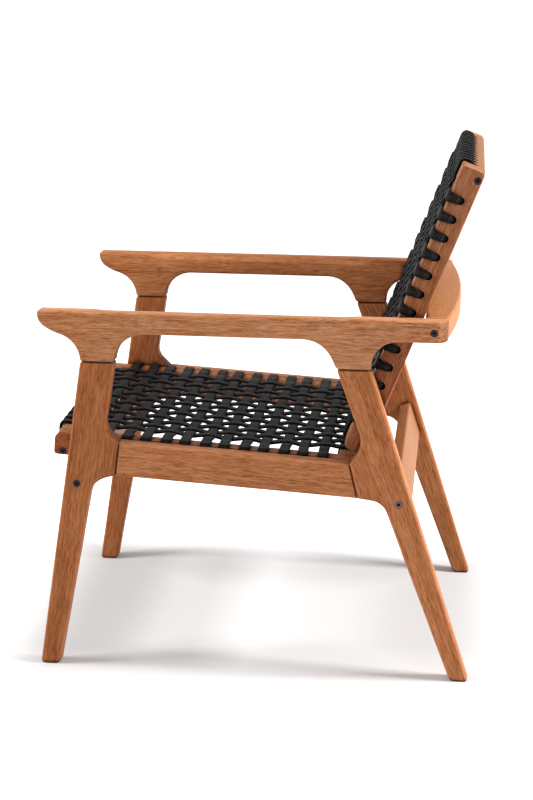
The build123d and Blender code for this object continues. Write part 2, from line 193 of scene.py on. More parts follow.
def wood_grain_group():
    """Colour, roughness and height of straight-grained hardwood, with the grain along its X axis."""
    group = bpy.data.node_groups.new("wood_grain", "ShaderNodeTree")
    sockets = group.interface
    sockets.new_socket("Vector", in_out="INPUT", socket_type="NodeSocketVector")
    for name in ("Light", "Dark", "Pore"):
        sockets.new_socket(name, in_out="INPUT", socket_type="NodeSocketColor")
    sockets.new_socket("Colour", in_out="OUTPUT", socket_type="NodeSocketColor")
    for name in ("Roughness", "Height"):
        sockets.new_socket(name, in_out="OUTPUT", socket_type="NodeSocketFloat")
    given = group.nodes.new("NodeGroupInput").outputs
    made = group.nodes.new("NodeGroupOutput").inputs

    drift = noise(group, given["Vector"], SWAY_SCALE, SWAY_DETAIL)["Color"]
    sway = vector_node(group, "MULTIPLY", vector_node(group, "SUBTRACT", drift, MIDDLE_OF_NOISE), SWAY)
    wavy = vector_node(group, "ADD", given["Vector"], sway)

    def layer(stretch, detail, span):
        """Noise drawn out along the wavy grain, with a range of it mapped to 0 and 1."""
        drawn = stretched(group, wavy, stretch)
        return ramp(group, noise(group, drawn, 1, detail, GRAIN_NOISE_ROUGHNESS)["Fac"], *span)

    bands = math_node(group, "MULTIPLY", layer(*GRAIN_BANDS), BAND_WEIGHT)
    streaks = math_node(group, "MULTIPLY", layer(*GRAIN_STREAKS), STREAK_WEIGHT)
    fibres = layer(*GRAIN_FIBRES)
    fine = math_node(group, "MULTIPLY", fibres, FIBRE_WEIGHT)
    shading = math_node(group, "ADD", math_node(group, "ADD", bands, streaks), fine)
    patches = math_node(group, "MULTIPLY", layer(*GRAIN_PATCHES), PATCH_WEIGHT)
    share = math_node(group, "ADD", patches, FEWEST_PORES)
    flecks = math_node(group, "MULTIPLY", layer(*GRAIN_PORES), share)
    colour = mix(group, flecks, mix(group, shading, given["Dark"], given["Light"]), given["Pore"])
    rough = math_node(group, "ADD", math_node(group, "MULTIPLY", flecks, PORE_ROUGHNESS), WOOD_ROUGHNESS)
    height = math_node(group, "SUBTRACT", math_node(group, "MULTIPLY", fibres, FIBRE_HEIGHT), flecks)
    group.links.new(colour, made["Colour"])
    group.links.new(rough, made["Roughness"])
    group.links.new(height, made["Height"])
    return group


wood_grain = wood_grain_group()
TREE_STEP = (1, 0.37, 0.61)


def wood_material(name, grain, part, tint_and_light, figure, end_grain_and_shade=1.0):
    """Oiled hardwood for one board. grain is the board's length direction, part picks another part of the
    tree, its tint is the board's own colour together with painted light, shade and sheen matched to how
    that board is lit, figure is how strongly its grain shows, and the end-grain share is how light faces
    cut across the grain are left: end grain takes the oil darker, and this darkening also paints the shade
    on the curved ends and undersides. Seams and corners get painted shade, which also stands for dark oil
    in the joints."""
    material, tree, shader = new_material("wood_" + name)
    place = tree.nodes.new("ShaderNodeTexCoord").outputs
    turn = tree.nodes.new("ShaderNodeMapping")
    turn.inputs["Rotation"].default_value = Vector(grain).rotation_difference((1, 0, 0)).to_euler()
    turn.inputs["Location"].default_value = [part * step for step in TREE_STEP]
    tree.links.new(place["Object"], turn.inputs["Vector"])
    wood = tree.nodes.new("ShaderNodeGroup")
    wood.node_tree = wood_grain
    tree.links.new(turn.outputs["Vector"], wood.inputs["Vector"])
    middle = Vector(WOOD_LIGHT).lerp(Vector(WOOD_DARK), 0.5)
    for socket, colour in (("Light", WOOD_LIGHT), ("Dark", WOOD_DARK), ("Pore", WOOD_PORE)):
        shown = middle.lerp(Vector(colour), figure)
        wood.inputs[socket].default_value = [t * c for t, c in zip(tint_and_light, shown)] + [1]
    # Faces cut across the grain are darker: end grain takes the oil darker, and this darkening also paints
    # the shade on the curved ends and undersides.
    facing = vector_node(tree, "DOT_PRODUCT", place["Normal"], grain, "Value")
    cut_across = math_node(tree, "ABSOLUTE", facing)
    end_grain_shade = ramp(tree, cut_across, *END_GRAIN_SHADE_TURN, 1.0, end_grain_and_shade, "SMOOTHSTEP")
    colour = mix(tree, 1, wood.outputs["Colour"], end_grain_shade, "MULTIPLY")
    # Painted shade in seams, corners and where straps touch the wood; it also stands for dark oil in the
    # joints.
    colour = painted_corner_shade(tree, colour, SEAM_SHADE_REACH, SEAM_SHADE_OPENNESS, SEAM_SHADE_DARKEST)
    tree.links.new(colour, shader["Base Color"])
    tree.links.new(wood.outputs["Roughness"], shader["Roughness"])
    tree.links.new(bumped(tree, wood.outputs["Height"], *WOOD_BUMP), shader["Normal"])
    shader["Specular IOR Level"].default_value = WOOD_GLOSS
    return material


def rounded_board(node, material):
    """The look of a wooden piece: its sawn shape with every edge rounded over a little."""
    piece = frame["nodes"][node].copy()
    piece.data = piece.data.copy()
    piece.name = node + "_wood"
    bpy.context.scene.collection.objects.link(piece)
    bpy.ops.object.select_all(action="DESELECT")
    piece.select_set(True)
    bpy.context.view_layer.objects.active = piece
    del piece["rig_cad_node"]
    bpy.ops.object.mode_set(mode="EDIT")
    bpy.ops.mesh.select_all(action="SELECT")
    bpy.ops.mesh.remove_doubles(threshold=MERGE_DISTANCE)
    bpy.ops.mesh.dissolve_limited(angle_limit=FLAT_ANGLE)
    bpy.ops.object.mode_set(mode="OBJECT")
    bevel = piece.modifiers.new("edges", "BEVEL")
    bevel.width = EDGE_ROUND
    bevel.segments = EDGE_SEGMENTS
    bevel.limit_method = "ANGLE"
    bevel.angle_limit = EDGE_ANGLE
    bevel.use_clamp_overlap = True
    bpy.ops.object.modifier_apply(modifier=bevel.name)
    bpy.ops.object.shade_smooth_by_angle(angle=SMOOTH_ANGLE)
    piece.data.materials.clear()
    piece.data.materials.append(material)
    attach(piece, "root")
    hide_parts(node)


FRONT_LEG_GRAIN = (0, -0.139, -0.990)
REAR_LEG_GRAIN = (0, 0.342, -0.940)
RAIL_GRAIN = (0, 0.9982, -0.0593)
ARM_GRAIN = (0, 1, 0)
STRONG_FIGURE = 1.25
# How light the faces cut across the grain are left, with end grain's darker oil and painted shade.
LEG_END_GRAIN_SHADE = 0.33
ARM_END_GRAIN_SHADE = 0.5

# Board, grain, part of the tree, tints of the left and the right board, each with painted light, shade and
# sheen matched to how it is lit, end grain with the painted shade on it.
SIDE_BOARDS = (
    ("front_leg", FRONT_LEG_GRAIN, 1.3, (0.855, 0.795, 0.70), (0.88, 0.81, 0.73), LEG_END_GRAIN_SHADE),
    ("rear_leg", REAR_LEG_GRAIN, 2.1, (1.08, 1.11, 1.08), (0.88, 0.90, 0.84), LEG_END_GRAIN_SHADE),
    ("side_rail", RAIL_GRAIN, 3.4, (1.08, 1.14, 1.21), (1.08, 1.14, 1.21), LEG_END_GRAIN_SHADE),
    ("armrest", ARM_GRAIN, 4.2, (1.22, 1.42, 1.66), (1.01, 1.01, 0.94), ARM_END_GRAIN_SHADE),
)
for side, sign in (("left", 1), ("right", -1)):
    for board, grain, part, left_tint_and_light, right_tint_and_light, end_grain_and_shade in SIDE_BOARDS:
        node = side + "_" + board
        tint_and_light = left_tint_and_light if side == "left" else right_tint_and_light
        rounded_board(node, wood_material(node, grain, sign * part, tint_and_light, STRONG_FIGURE, end_grain_and_shade))

# Stretchers and the bow behind the back: hardwood boards across the chair, bolted to the side frames.
# They are planed and rounded over like the side frames.
CROSS_GRAIN = (1, 0, 0)
FAINT_FIGURE = 0.4

# Node, part of the tree, the board's tint together with painted light and shade matched to how it is lit.
CROSS_BOARDS = (
    ("front_stretcher", 5.5, (0.90, 0.95, 0.95)),
    ("rear_stretcher", 6.5, (0.84, 0.96, 1.00)),
    ("curved_back_rail", 7.5, (1.03, 1.13, 1.06)),
)
for node, part, tint_and_light in CROSS_BOARDS:
    rounded_board(node, wood_material(node, CROSS_GRAIN, part, tint_and_light, FAINT_FIGURE))

# Comb frames of the seat and the back: slotted side members with slotted rails screwed between them,
# of the same oiled hardwood. The slots hold the turns of the straps.
BACK_GRAIN = (0, 0.3616, 0.9323)
# The rails' tint together with painted light and shade matched to how they are lit.
PANEL_RAIL_TINT_AND_LIGHT = (0.70, 0.80, 0.80)

# Node, grain, part of the tree, tint together with painted light and shade matched to how the board is lit,
# figure.
COMB_BOARDS = (
    ("left_seat_side_member", RAIL_GRAIN, 8.2, (0.68, 0.60, 0.50), STRONG_FIGURE),
    ("right_seat_side_member", RAIL_GRAIN, 9.2, (0.97, 0.98, 0.93), STRONG_FIGURE),
    ("left_back_stile", BACK_GRAIN, 10.2, (0.85, 0.89, 1.02), STRONG_FIGURE),
    ("right_back_stile", BACK_GRAIN, 11.2, (0.92, 0.92, 0.88), STRONG_FIGURE),
    ("seat_front_rail", CROSS_GRAIN, 12.4, PANEL_RAIL_TINT_AND_LIGHT, FAINT_FIGURE),
    ("seat_rear_rail", CROSS_GRAIN, 13.4, PANEL_RAIL_TINT_AND_LIGHT, FAINT_FIGURE),
    ("back_bottom_rail", CROSS_GRAIN, 14.4, PANEL_RAIL_TINT_AND_LIGHT, FAINT_FIGURE),
    ("back_top_rail", CROSS_GRAIN, 15.4, PANEL_RAIL_TINT_AND_LIGHT, FAINT_FIGURE),
)
for node, grain, part, tint_and_light, figure in COMB_BOARDS:
    rounded_board(node, wood_material(node, grain, part, tint_and_light, figure))

# Straps: flat braided cord, nearly black. Each panel has one that runs to and fro along it and one
# across it, passing over and under the other in turn. At each end it turns round the frame into a
# slot, and passes behind a tooth to the next slot.
PANEL_LENGTH = 0.475
PANEL_WIDTH = 0.498
MEMBER_THICK = 0.028
ROWS = 13
PITCH = 0.031
STRAP_WIDTH = 0.0166
STRAP_THICK = 0.0045
STRAP_SQUARENESS = 0.45
SECTION_SIDES = 16
LONG_LIFT = 0.0021
CROSS_LIFT = 0.0012
FRAME_LEAN = 0.5
ON_FRAME_LEVEL = 0.00225
SETTLED_ON_FRAME = 0.006
SETTLING_LENGTH = 0.014
SLOT_CENTRE = 0.018
SLOT_RADIUS = 0.0064
SLOT_SQUEEZE = 0.0095
LOOP_DEPTH = 0.0214
LOOP_TURN = 0.0028
RETURN_DEPTH = 0.0226
RETURN_STRAP_WIDTH = 0.0104
TOOTH_HUG = 0.0024
TOOTH_RISE = 0.004
TOOTH_WIDENING = 0.004
TOOTH_CORNER = 0.16
TOOTH_SHARES = (0.03, 0.07, 0.12, 0.2, 0.35, 0.5, 0.65, 0.8, 0.88, 0.93, 0.97)
STRAP_STEP = 0.0026
EDGE_STEPS = 7
SLOT_STEPS = 8
DIVE_STEPS = 4
RETURN_STEPS = 5
QUARTER_TURN = math.radians(90)

# A strap's turn round the frame: its radius, how far it stands proud of the frame's edge, the depth
# where it starts to dive into the slot, and its level at the slot's end.
Turn = namedtuple("Turn", "radius proud dive sunk")
TIGHT_TURN = Turn(0.0042, 0.0009, 0.009, -0.0035)
SIDE_TURN = Turn(0.0075, 0.0014, 0.012, -0.0035)
LOW_TURN = Turn(0.008, 0.0007, 0.009, -0.0035)
FULL_TURN = Turn(0.0075, 0.0026, 0.011, -0.0008)


def smooth(t):
    """A soft step from 0 to 1."""
    t = min(max(t, 0.0), 1.0)
    return t * t * (3 - 2 * t)


def weave_wave(distance):
    """Height of a strap over its middle level: +1 above a crossing and -1 below the next one."""
    crossing = math.floor(distance / PITCH + 0.5)
    sign = 1 if crossing % 2 == 0 else -1
    return sign * (1 - 2 * smooth(abs(distance / PITCH - crossing)))


def squeezed(depth):
    """How far the strap is pressed together and centred at a depth in its slot, from 0 to 1."""
    return smooth((depth + ON_FRAME_LEVEL) / SLOT_SQUEEZE)


def slot_width(depth):
    """Width of the strap in a slot: pressed together at the mouth, and rounded at the slot's end."""
    if depth > SLOT_CENTRE:
        return 2 * math.sqrt(max(SLOT_RADIUS ** 2 - (depth - SLOT_CENTRE) ** 2, 0.0))
    return STRAP_WIDTH + (2 * SLOT_RADIUS - STRAP_WIDTH) * squeezed(depth)


def strap_route(span, breadth, lift, hollow_at, pairing, turns):
    """Points of a strap that runs to and fro in rows, over a span, in the panel's own frame, with its
    turns at the two ends. pairing is how far a row leans towards the neighbour that it turns into.
    Each point is (along the span, across the rows, height, width of the strap, tilt)."""
    first_cross = (span - (ROWS - 1) * PITCH) / 2
    edges = ((0.0, -1), (span, 1))

    def row_at(row):
        return PITCH * (row - (ROWS - 1) / 2)

    def pair_shift(row, end):
        if row + end in (0, ROWS):
            return 0.0
        return pairing if (row + end) % 2 else -pairing

    def body(row):
        """One row, from the frame's first edge to its second."""
        start, stop = turns[0].radius - turns[0].proud, span - turns[1].radius + turns[1].proud
        steps = int((stop - start) / STRAP_STEP)
        points = []
        for step in range(steps + 1):
            along = start + (stop - start) * step / steps
            reach = (along - span / 2) / (span / 2 - MEMBER_THICK)
            hollow = hollow_at(reach, row_at(row) / (breadth / 2 - MEMBER_THICK))
            wave = ON_FRAME_LEVEL + lift * weave_wave(along - first_cross + row * PITCH) - hollow
            inside = min(along, span - along)
            on_frame = 1 - smooth((inside - MEMBER_THICK + SETTLED_ON_FRAME) / SETTLING_LENGTH)
            lean = pair_shift(row, 0) + (pair_shift(row, 1) - pair_shift(row, 0)) * along / span
            lean *= 1 - (1 - FRAME_LEAN) * on_frame
            height = wave + (ON_FRAME_LEVEL - wave) * on_frame
            points.append((along, row_at(row) + lean, height, STRAP_WIDTH, 0.0))
        return points

    def loop(row, end):
        """The turn of a row round the frame: over the edge, down into the slot and back inwards."""
        edge, out = edges[end]
        across, lean = row_at(row), pair_shift(row, end) * FRAME_LEAN
        turn = turns[end]
        points = []
        for step in range(1, EDGE_STEPS + 1):
            angle = QUARTER_TURN * step / EDGE_STEPS
            depth = turn.radius - ON_FRAME_LEVEL - turn.radius * math.cos(angle)
            away = edge + out * (turn.proud - turn.radius + turn.radius * math.sin(angle))
            points.append((away, across + lean * (1 - squeezed(depth)), -depth, slot_width(depth), 0.0))
        top, bottom = turn.radius - ON_FRAME_LEVEL, LOOP_DEPTH - LOOP_TURN
        for step in range(1, SLOT_STEPS + 1):
            depth = top + (bottom - top) * step / SLOT_STEPS
            dive = smooth((depth - turn.dive) / (bottom - turn.dive))
            away = edge + out * (turn.proud + (turn.sunk - turn.proud) * dive)
            points.append((away, across + lean * (1 - squeezed(depth)), -depth, slot_width(depth), 0.0))
        turned = edge + out * (turn.sunk - LOOP_TURN)
        for step in range(1, DIVE_STEPS + 1):
            angle = QUARTER_TURN * step / DIVE_STEPS
            depth = bottom + LOOP_TURN * math.sin(angle)
            away = turned + out * LOOP_TURN * math.cos(angle)
            points.append((away, across, -depth, slot_width(depth), 0.0))
        inner = edge - out * MEMBER_THICK
        for step in range(1, RETURN_STEPS + 1):
            share = step / RETURN_STEPS
            depth = LOOP_DEPTH + (RETURN_DEPTH - LOOP_DEPTH) * share
            width = slot_width(LOOP_DEPTH) + (RETURN_STRAP_WIDTH - slot_width(LOOP_DEPTH)) * share
            points.append((turned + (inner - turned) * share, across, -depth, width, 0.0))
        return points

    def behind_tooth(row, end):
        """The way from a row's slot to the next row's, standing on edge against the tooth."""
        edge, out = edges[end]
        points = []
        for share in TOOTH_SHARES:
            upright = smooth(min(share, 1 - share) / TOOTH_CORNER)
            points.append((
                edge - out * (MEMBER_THICK + TOOTH_HUG * upright),
                row_at(row) + PITCH * share,
                -RETURN_DEPTH + TOOTH_RISE * upright,
                RETURN_STRAP_WIDTH + TOOTH_WIDENING * upright,
                QUARTER_TURN * upright,
            ))
        return points

    route = []
    for row in range(ROWS):
        near, far = (0, 1) if row % 2 == 0 else (1, 0)
        route += loop(row, near)[::-1]
        route += body(row) if near == 0 else body(row)[::-1]
        route += loop(row, far)
        if row < ROWS - 1:
            route += behind_tooth(row, far)
    return route


STRAP_COLOUR = (0.0046, 0.0041, 0.0042, 1)
STRAP_PAINTED_HIGHLIGHT = (0.112, 0.100, 0.099, 1)
STRAP_ROUGHNESS = 0.5
STRAP_GLOSS = 0.035
STRAP_BUMP = (0.9, 0.0006)
STRAP_SHADE_REACH = 0.012
STRAP_SHADE_OPENNESS = (0.35, 0.95)
STRAP_SHADE_DARKEST = 0.08
STITCH_LENGTH = 0.0031
STITCH_SLANT = 0.9
STITCH_LOWEST = 0.3
RIB_WIDTH = 0.0023
SHINE_HEIGHT = (0.35, 0.95)
SPECKLE_SCALE = 300
SPECKLE_DETAIL = 1
SPECKLE_RANGE = (0.35, 0.65)
SPECKLE_LEAST = 0.45
CREST_HIGHLIGHT = (0.0030, 0.0078)
CREST_HIGHLIGHT_EDGE = 0.06


def braid_group():
    """Colour and height of a flat braid: ribs along the strap, each a row of slanting stitches, from the
    strap's own UV map in metres. The colour carries a painted highlight on the raised stitches, strongest
    along the strap's middle and dark at its edges."""
    group = bpy.data.node_groups.new("braid", "ShaderNodeTree")
    sockets = group.interface
    sockets.new_socket("UV", in_out="INPUT", socket_type="NodeSocketVector")
    sockets.new_socket("Colour", in_out="OUTPUT", socket_type="NodeSocketColor")
    sockets.new_socket("Height", in_out="OUTPUT", socket_type="NodeSocketFloat")
    given = group.nodes.new("NodeGroupInput").outputs
    made = group.nodes.new("NodeGroupOutput").inputs
    split = group.nodes.new("ShaderNodeSeparateXYZ")
    group.links.new(given["UV"], split.inputs["Vector"])
    along, across = split.outputs["X"], split.outputs["Y"]

    stitch = math_node(group, "MULTIPLY", along, 2 * math.pi / STITCH_LENGTH)
    rib = math_node(group, "MULTIPLY", across, math.pi / RIB_WIDTH)
    fold = math_node(group, "ABSOLUTE", math_node(group, "SINE", rib))
    sideways = math_node(group, "SINE", math_node(group, "MULTIPLY", rib, 2.0))
    slant = math_node(group, "MULTIPLY", sideways, STITCH_SLANT)
    wave = math_node(group, "SINE", math_node(group, "ADD", stitch, slant))
    height = math_node(group, "MULTIPLY", fold, ramp(group, wave, -1, 1, STITCH_LOWEST, 1.0))

    # Painted highlight: the raised stitches are lighter, broken up by noise, and most along the strap's
    # middle.
    highlight_noise = noise(group, given["UV"], SPECKLE_SCALE, SPECKLE_DETAIL)["Fac"]
    shine = ramp(group, height, *SHINE_HEIGHT)
    speckle = ramp(group, highlight_noise, *SPECKLE_RANGE, SPECKLE_LEAST, 1.0)
    crest_highlight = ramp(group, math_node(group, "ABSOLUTE", across), *CREST_HIGHLIGHT, 1.0, CREST_HIGHLIGHT_EDGE)
    painted_highlight = math_node(group, "MULTIPLY", math_node(group, "MULTIPLY", shine, speckle), crest_highlight)
    group.links.new(mix(group, painted_highlight, STRAP_COLOUR, STRAP_PAINTED_HIGHLIGHT), made["Colour"])
    group.links.new(height, made["Height"])
    return group


strap_material, strap_tree, strap_shader = new_material("braided_strap")
strap_uv = strap_tree.nodes.new("ShaderNodeUVMap")
strap_uv.uv_map = "strap"
strap_braid = strap_tree.nodes.new("ShaderNodeGroup")
strap_braid.node_tree = braid_group()
strap_tree.links.new(strap_uv.outputs["UV"], strap_braid.inputs["UV"])
# Painted shade where the straps cross each other, touch the wood and dive into the slots.
strap_shaded_colour = painted_corner_shade(
    strap_tree, strap_braid.outputs["Colour"], STRAP_SHADE_REACH, STRAP_SHADE_OPENNESS, STRAP_SHADE_DARKEST
)
strap_normal = bumped(strap_tree, strap_braid.outputs["Height"], *STRAP_BUMP)
strap_tree.links.new(strap_shaded_colour, strap_shader["Base Color"])
strap_tree.links.new(strap_normal, strap_shader["Normal"])
strap_shader["Roughness"].default_value = STRAP_ROUGHNESS
strap_shader["Specular IOR Level"].default_value = STRAP_GLOSS

SEAT_PLACE = Matrix.Translation((0, -0.3192, 0.3762)) @ Matrix.Rotation(math.radians(-3.4), 4, "X")
BACK_PLACE = Matrix.Translation((0, 0.1345, 0.368)) @ Matrix.Rotation(math.radians(68.8), 4, "X")
SEAT_SAG = (0.0038, 1.05)
BACK_SAG = (0.002, 0.0)
SEAT_PAIRING = 0.0019
BACK_PAIRING = 0.001
STRAP_SMOOTH_ANGLE = math.radians(70)


def strap_section(turn):
    """A point of the strap's rounded section, in shares of its width and thickness."""
    across, through = math.cos(2 * math.pi * turn), math.sin(2 * math.pi * turn)
    return [0.5 * math.copysign(abs(part) ** STRAP_SQUARENESS, part) for part in (across, through)]


def woven_strap(node, place, sag, pairing, turns, crosswise):
    """One strap of a panel: a long flat cord laid along its route. The crosswise strap goes under
    where the lengthwise one goes over. The weave sags by a depth, and more on one side than on the
    other."""

    def hollow_at(reach, side_reach):
        depth, uneven = sag
        sideways, lengthways = (reach, side_reach) if crosswise else (side_reach, reach)
        bowl = (1 - min(sideways ** 4, 1)) * (1 - min(lengthways ** 2, 1))
        return depth * bowl * (1 + uneven * sideways)

    if crosswise:
        route = strap_route(PANEL_WIDTH, PANEL_LENGTH, -CROSS_LIFT, hollow_at, pairing, turns)
        level = Vector((0, 1, 0))
        points = [Vector((a - PANEL_WIDTH / 2, PANEL_LENGTH / 2 + b, h)) for a, b, h, *_ in route]
    else:
        route = strap_route(PANEL_LENGTH, PANEL_WIDTH, LONG_LIFT, hollow_at, pairing, turns)
        level = Vector((1, 0, 0))
        points = [Vector((b, a, h)) for a, b, h, *_ in route]
    last = len(points) - 1
    bpy.ops.object.select_all(action="DESELECT")
    bpy.ops.mesh.primitive_grid_add(x_subdivisions=last, y_subdivisions=SECTION_SIDES, size=1)
    strap = bpy.context.active_object
    strap.name = node + "_braid"
    mesh = strap.data
    lengths = [0.0]
    for before, after in zip(points, points[1:]):
        lengths.append(lengths[-1] + (after - before).length)
    uv = mesh.uv_layers[0]
    uv.name = "strap"
    for corner in uv.data:
        u, v = corner.uv
        corner.uv = (lengths[round(u * last)], strap_section(v)[0] * STRAP_WIDTH)
    sections = []
    for step, (*_, width, tilt) in enumerate(route):
        tangent = (points[min(step + 1, last)] - points[max(step - 1, 0)]).normalized()
        side = level
        if tilt:
            flat = Vector((-tangent.y, tangent.x, 0))
            flat = flat if flat.dot(level) >= 0 else -flat
            side = flat * math.cos(tilt) + Vector((0, 0, 1)) * math.sin(tilt)
        side = (side - tangent * side.dot(tangent)).normalized()
        sections.append((side * width, side.cross(tangent) * STRAP_THICK))
    for vertex in mesh.vertices:
        step = round((vertex.co.x + 0.5) * last)
        side, normal = sections[step]
        across, through = strap_section(vertex.co.y + 0.5)
        vertex.co = place @ (points[step] + side * across + normal * through)
    bpy.ops.object.mode_set(mode="EDIT")
    bpy.ops.mesh.select_all(action="SELECT")
    bpy.ops.mesh.remove_doubles(threshold=MERGE_DISTANCE)
    bpy.ops.mesh.fill_holes(sides=SECTION_SIDES)
    bpy.ops.mesh.normals_make_consistent(inside=False)
    bpy.ops.object.mode_set(mode="OBJECT")
    bpy.ops.object.shade_smooth_by_angle(angle=STRAP_SMOOTH_ANGLE)
    mesh.materials.clear()
    mesh.materials.append(strap_material)
    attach(strap, "root")
    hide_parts(node)


woven_strap("seat_long_straps", SEAT_PLACE, SEAT_SAG, SEAT_PAIRING, (FULL_TURN, TIGHT_TURN), False)
woven_strap("seat_cross_straps", SEAT_PLACE, SEAT_SAG, SEAT_PAIRING, (TIGHT_TURN, TIGHT_TURN), True)
woven_strap("back_long_straps", BACK_PLACE, BACK_SAG, BACK_PAIRING, (LOW_TURN, FULL_TURN), False)
woven_strap("back_cross_straps", BACK_PLACE, BACK_SAG, BACK_PAIRING, (SIDE_TURN, SIDE_TURN), True)

# Bolts of the cross members and screws of the comb frames: blackened steel, each with a round head sunk
# flush into the wood, a softened rim and a hexagon socket. The heads of the rear stretcher's bolts, the
# lowest of all, are coloured paler as a painted glint, and painted shade darkens the sockets and where the
# heads meet the wood.
HEAD_RADIUS = 0.0059
HEAD_HEIGHT = 0.005
HEAD_SIDES = 48
RIM_ROUND = 0.0009
RIM_SEGMENTS = 3
RIM_ANGLE = math.radians(60)
SOCKET_RADIUS = 0.0031
SOCKET_DEPTH = 0.003
SOCKET_SIDES = 6
SHANK_RADIUS = 0.003
SHANK_SIDES = 24

STEEL_DARK = (0.032, 0.033, 0.038, 1)
STEEL_LIGHT = (0.060, 0.062, 0.071, 1)
STEEL_PAINTED_GLINT = (0.24, 0.21, 0.27, 1)
GLINT_BELOW = 0.2945
STEEL_GRIT = (420, 3)
STEEL_ROUGHNESS = 0.35
STEEL_GLOSS = 0.1
STEEL_SHADE_REACH = 0.005
STEEL_SHADE_OPENNESS = (0.5, 0.95)
STEEL_SHADE_DARKEST = 0.05

black_steel, steel_tree, steel_shader = new_material("black_steel")
steel_place = steel_tree.nodes.new("ShaderNodeTexCoord").outputs["Object"]
steel_split = steel_tree.nodes.new("ShaderNodeSeparateXYZ")
steel_tree.links.new(steel_place, steel_split.inputs["Vector"])
# Painted glint: heads below this height, those of the rear stretcher's bolts, get a paler colour.
steel_glint_mask = math_node(steel_tree, "LESS_THAN", steel_split.outputs["Z"], GLINT_BELOW)
steel_colour = mix(steel_tree, noise(steel_tree, steel_place, *STEEL_GRIT)["Fac"], STEEL_DARK, STEEL_LIGHT)
steel_colour = mix(steel_tree, steel_glint_mask, steel_colour, STEEL_PAINTED_GLINT)
# Painted shade in the sockets and where the heads meet the wood.
steel_colour = painted_corner_shade(steel_tree, steel_colour, STEEL_SHADE_REACH, STEEL_SHADE_OPENNESS, STEEL_SHADE_DARKEST)
steel_tree.links.new(steel_colour, steel_shader["Base Color"])
steel_shader["Roughness"].default_value = STEEL_ROUGHNESS
steel_shader["Specular IOR Level"].default_value = STEEL_GLOSS


def cylinder(sides, radius, length, place, twist):
    """A cylinder along X, turned about its own axis by the twist."""
    bpy.ops.object.select_all(action="DESELECT")
    bpy.ops.mesh.primitive_cylinder_add(vertices=sides, radius=radius, depth=length, location=place)
    made = bpy.context.active_object
    made.rotation_mode = "ZYX"
    made.rotation_euler = (0, QUARTER_TURN, twist)
    bpy.ops.object.transform_apply(location=True, rotation=True, scale=True)
    return made


def socket_bolts(node, places, twist, length):
    """The bolts of one node. Each place is the middle of a head's outer face, on the left or right side."""
    bolts = []
    for place in places:
        inwards = Vector((-1 if place.x > 0 else 1, 0, 0))
        head = cylinder(HEAD_SIDES, HEAD_RADIUS, HEAD_HEIGHT, place + inwards * HEAD_HEIGHT / 2, twist)
        rim = head.modifiers.new("rim", "BEVEL")
        rim.width = RIM_ROUND
        rim.segments = RIM_SEGMENTS
        rim.limit_method = "ANGLE"
        rim.angle_limit = RIM_ANGLE
        bpy.ops.object.modifier_apply(modifier=rim.name)
        socket = cylinder(SOCKET_SIDES, SOCKET_RADIUS, 2 * SOCKET_DEPTH, place, twist)
        bpy.context.view_layer.objects.active = head
        cut = head.modifiers.new("socket", "BOOLEAN")
        cut.operation = "DIFFERENCE"
        cut.object = socket
        bpy.ops.object.modifier_apply(modifier=cut.name)
        bpy.data.objects.remove(socket)
        shank_length = length - HEAD_HEIGHT
        shank_middle = place + inwards * (HEAD_HEIGHT + shank_length / 2)
        bolts += [head, cylinder(SHANK_SIDES, SHANK_RADIUS, shank_length, shank_middle, twist)]
    bpy.ops.object.select_all(action="DESELECT")
    for bolt in bolts:
        bolt.select_set(True)
    bpy.context.view_layer.objects.active = bolts[0]
    bpy.ops.object.join()
    bolt = bpy.context.active_object
    bolt.name = node + "_steel"
    bpy.ops.object.shade_smooth_by_angle(angle=SMOOTH_ANGLE)
    bolt.data.materials.clear()
    bolt.data.materials.append(black_steel)
    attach(bolt, "root")
    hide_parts(node)


HALF_WIDTH = 0.28
BOLT_INSET = 0.0005
STRETCHER_BOLTS = ((-0.2795, 0.302), (0.2245, 0.287))
BACK_RAIL_BOLTS = ((0.2715, 0.559),)
FRAME_BOLT_TWIST = 0.2
FRAME_BOLT_LENGTH = 0.06
PANEL_SCREW_TWIST = 0.5
PANEL_SCREW_LENGTH = 0.05
PANEL_SCREW_LEVEL = -0.03
for node, sides in (("stretcher_bolts", STRETCHER_BOLTS), ("back_rail_bolts", BACK_RAIL_BOLTS)):
    face = HALF_WIDTH - BOLT_INSET
    spots = [Vector((sign * face, y, z)) for y, z in sides for sign in (1, -1)]
    socket_bolts(node, spots, FRAME_BOLT_TWIST, FRAME_BOLT_LENGTH)
for node, place in (("seat_frame_screws", SEAT_PLACE), ("back_frame_screws", BACK_PLACE)):
    face = PANEL_WIDTH / 2 - BOLT_INSET
    ends = (MEMBER_THICK / 2, PANEL_LENGTH - MEMBER_THICK / 2)
    spots = [place @ Vector((sign * face, y, PANEL_SCREW_LEVEL)) for y in ends for sign in (1, -1)]
    socket_bolts(node, spots, PANEL_SCREW_TWIST, PANEL_SCREW_LENGTH)

# Hidden fixings: beech tenons and dowels inside the joints, zinc-plated threaded inserts in the ends of
# the cross members, and black wood screws from the comb frames into the side frames.
BEECH_LIGHT = (0.68, 0.5, 0.33, 1)
BEECH_DARK = (0.52, 0.35, 0.21, 1)
BEECH_STRETCH = (40, 40, 400)
BEECH_ROUGHNESS = 0.6
ZINC_LIGHT = (0.62, 0.62, 0.64, 1)
ZINC_DARK = (0.42, 0.42, 0.45, 1)
ZINC_STRETCH = (160, 160, 160)
ZINC_ROUGHNESS = 0.35
HIDDEN_DETAIL = 2


